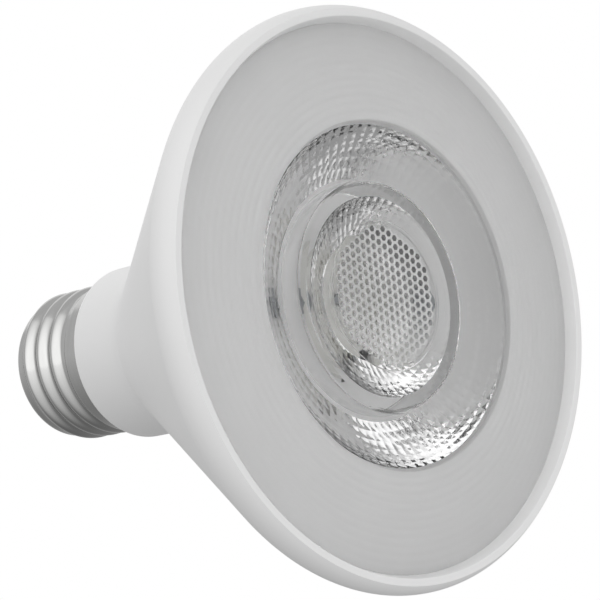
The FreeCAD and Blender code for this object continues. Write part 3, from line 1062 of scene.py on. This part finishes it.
@dataclass
class Inside:
    """LED board, its dish and the driver: the frame's own pieces, each with its finish."""

    nodes: dict[str, bpy.types.Object]

    def build(self) -> None:
        """Dresses the pieces inside the housing."""
        finishes = {
            POWDER_COAT: ("heat_sink",),
            WHITE_MASK: ("led_board",),
            LED_RESIN: ("led_packages",),
            PHOSPHOR: ("led_phosphors",),
            ZINC_STEEL: ("board_screws",),
            GREEN_MASK: ("driver_board",),
            BLACK_PHENOLIC: ("transformer_bobbin",),
            WINDING_TAPE: ("transformer_winding",),
            FERRITE: ("transformer_core", "choke"),
            PVC_SLEEVE: ("output_capacitor", "input_capacitor"),
            DIPPED_EPOXY: ("film_capacitor",),
            BROWN_MOULDING: ("fuse",),
            BLUE_EPOXY: ("surge_varistor",),
            BLACK_EPOXY: ("bridge_rectifier", "control_chip", "output_diode"),
            RESISTOR_GLAZE: ("chip_resistors",),
            WHITE_PVC: ("live_wire",),
            BLACK_PVC: ("neutral_wire", "led_wire_negative"),
            GREY_PVC: ("led_wire_positive",),
        }
        for finish, names in finishes.items():
            material = finish.build()
            for name in names:
                data = self.nodes[name].data
                data.materials.clear()
                data.materials.append(material)
                LOG.info("%s: %s", name, finish.name)


@dataclass(frozen=True)
class Softbox:
    """A square area lamp that looks at the bulb, placed by the camera's right, up and back."""

    name: str
    towards: Triple
    distance: float
    size: float
    power: float


@dataclass(frozen=True)
class Fade:
    """A change of the room's light along one direction.

    Args:
        towards: the direction, by the camera's right, up and back.
        start: how far along it the change starts, from -1 to 1.
        end: how far along it the change ends.
        before: strength up to the start.
        after: strength from the end on.
        curve: how it changes between the two.
    """

    towards: Triple
    start: float
    end: float
    before: float
    after: float
    curve: Curve = Curve.EVEN


@dataclass
class Studio:
    """White ground, soft lamps and the camera at the photograph's angle."""

    eye: Triple = (-304.14, 50.10, -277.99)
    target: Triple = (-0.41, -2.39, 20.40)
    up: Triple = (-0.0086, -0.9863, -0.1647)
    focal_length: float = 157.76
    sensor: float = 36.0
    nearest: float = 10.0
    farthest: float = 20000.0
    middle: Triple = (0.0, 0.0, 35.0)
    floor_size: float = 3000.0
    floor_colour: str = "#F4F4F4"
    lamps: tuple[Softbox, ...] = (
        Softbox("key", (-0.62, 0.6, 0.55), 850, 1150, 1.15),
        Softbox("fill", (0.7, -0.3, 0.7), 1000, 800, 1.2),
        Softbox("rear", (-0.3, 0.5, -0.8), 900, 700, 0.5),
    )
    room: tuple[Fade, Fade] = (
        Fade((0, 1, 0), -1.0, 0.1, 0.34, 0.9),
        Fade((0, 0, 1), -1.0, 1.0, 0.72, 1.02),
    )
    clear_room: tuple[Fade, Fade] = (
        Fade((0.9, -0.4, 0), 0.15, 0.85, 1.2, 0.3, Curve.SOFT),
        Fade((0, -0.53, 0.85), 0.3, 0.95, 1.0, 0.4, Curve.SOFT),
    )
    gloss_room: tuple[Fade, Fade] = (
        Fade((0, 1, 0), -1.0, 0.0, 0.3, 1.0),
        Fade((0, 0, 1), 0.0, 0.75, 0.6, 1.25, Curve.SOFT),
    )
    light_inside: float = 1.14

    def axes(self) -> tuple[Vector, Vector, Vector]:
        """The camera's right, up and back directions."""
        back = (Vector(self.eye) - Vector(self.target)).normalized()
        right = Vector(self.up).cross(back).normalized()
        return right, back.cross(right), back

    def direction(self, towards: Triple) -> Vector:
        """Turns a direction by the camera's right, up and back to one in the scene."""
        right, up, back = self.axes()
        return (right * towards[0] + up * towards[1] + back * towards[2]).normalized()

    def build_camera(self) -> None:
        """Sets up the camera."""
        lens = bpy.data.cameras.new("camera")
        lens.lens = self.focal_length
        lens.sensor_width = self.sensor
        lens.clip_start = self.nearest * MM
        lens.clip_end = self.farthest * MM
        camera = add_object("camera", lens)
        stand = Matrix(self.axes()).transposed().to_4x4()
        stand.translation = Vector(self.eye) * MM
        camera.matrix_world = stand
        bpy.context.scene.camera = camera

    def build_lamps(self) -> None:
        """Hangs the soft boxes."""
        for box in self.lamps:
            lamp = bpy.data.lights.new(box.name, "AREA")
            lamp.size = box.size * MM
            lamp.energy = box.power
            way = self.direction(box.towards)
            stand = way.to_track_quat("Z", "Y").to_matrix().to_4x4()
            stand.translation = (Vector(self.middle) + way * box.distance) * MM
            add_object(box.name, lamp).matrix_world = stand

    def fade(self, tree: Tree, way: bpy.types.NodeSocket, fade: Fade) -> bpy.types.Node:
        """Adds the strength of a light that changes along one direction.

        Args:
            tree: the world's node tree.
            way: the direction that a ray looks in.
            fade: the change.

        Returns:
            The node that gives the strength.
        """
        towards = tuple(self.direction(fade.towards))
        along = add_node(
            tree, "ShaderNodeVectorMath", {"operation": "DOT_PRODUCT"}, {0: way, 1: towards}
        )
        return add_node(
            tree,
            "ShaderNodeMapRange",
            {"interpolation_type": fade.curve.value},
            {
                "Value": along.outputs["Value"],
                "From Min": fade.start,
                "From Max": fade.end,
                "To Min": fade.before,
                "To Max": fade.after,
            },
        )

    def build_world(self) -> None:
        """White ground for the camera, and a soft room that is darker below.

        Mirrored rays meet a room that is palest on the camera's side. Through the clear plastic it is
        white with a grey corner to the right and below, and what lies behind the plastic is lit evenly.
        """
        world = bpy.data.worlds.new("studio")
        bpy.context.scene.world = world
        world.use_nodes = True
        tree = world.node_tree
        tree.nodes.clear()
        way = add_node(tree, "ShaderNodeTexCoord").outputs["Generated"]
        path = add_node(tree, "ShaderNodeLightPath").outputs
        rooms = []
        for fades in (self.room, self.gloss_room, self.clear_room):
            first, second = (self.fade(tree, way, fade) for fade in fades)
            made = add_node(tree, "ShaderNodeMath", {"operation": "MULTIPLY"}, {0: first, 1: second})
            rooms.append(made)
        seen, gloss_room, clear_room = rooms
        behind = add_node(
            tree, "ShaderNodeMath", {"operation": "MINIMUM"}, {0: path["Diffuse Depth"], 1: 1.0}
        )
        inner = add_node(
            tree, "ShaderNodeMix", inputs={"Factor": behind, "A": clear_room, "B": self.light_inside}
        )
        for kind, strength in (
            ("Is Glossy Ray", gloss_room),
            ("Is Transmission Ray", inner),
            ("Is Camera Ray", 1.0),
        ):
            mixed = {"Factor": path[kind], "A": seen, "B": strength}
            seen = add_node(tree, "ShaderNodeMix", inputs=mixed)
        light = add_node(tree, "ShaderNodeBackground", inputs={"Color": (1, 1, 1, 1), "Strength": seen})
        add_node(tree, "ShaderNodeOutputWorld", inputs={"Surface": light})

    def build_floor(self) -> None:
        """Lays a pale floor under the rim that only shows from above: the photograph looks up at it."""
        half = self.floor_size / 2 * MM
        corners = [(-half, -half, 0), (half, -half, 0), (half, half, 0), (-half, half, 0)]
        data = bpy.data.meshes.new("floor")
        data.from_pydata(corners, [], [(0, 1, 2, 3)])
        floor = add_object("floor", data)
        material, tree = new_material("pale floor")
        tree.nodes.clear()
        path = add_node(tree, "ShaderNodeLightPath")
        side = add_node(tree, "ShaderNodeNewGeometry")
        front = add_node(
            tree, "ShaderNodeMath", {"operation": "SUBTRACT"}, {0: 1.0, 1: side.outputs["Backfacing"]}
        )
        shown = add_node(
            tree,
            "ShaderNodeMath",
            {"operation": "MULTIPLY"},
            {0: front, 1: path.outputs["Is Camera Ray"]},
        )
        clear = add_node(tree, "ShaderNodeBsdfTransparent")
        paint = add_node(tree, "ShaderNodeBsdfDiffuse", inputs={"Color": linear(self.floor_colour)})
        mixed = add_node(tree, "ShaderNodeMixShader", inputs={0: shown, 1: clear, 2: paint})
        add_node(tree, "ShaderNodeOutputMaterial", inputs={"Surface": mixed})
        data.materials.append(material)

    def build(self) -> None:
        """Sets up the whole studio."""
        self.build_world()
        self.build_lamps()
        self.build_floor()
        self.build_camera()
        bpy.context.scene.view_settings.view_transform = "Standard"


def main() -> None:
    """Builds the bulb's looks and its studio."""
    logging.basicConfig(level=logging.INFO, format="%(message)s")
    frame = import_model()
    Housing().build()
    FrontLens().build()
    ScrewBase().build()
    Inside(frame["nodes"]).build()
    Studio().build()


if __name__ == "__main__":
    main()
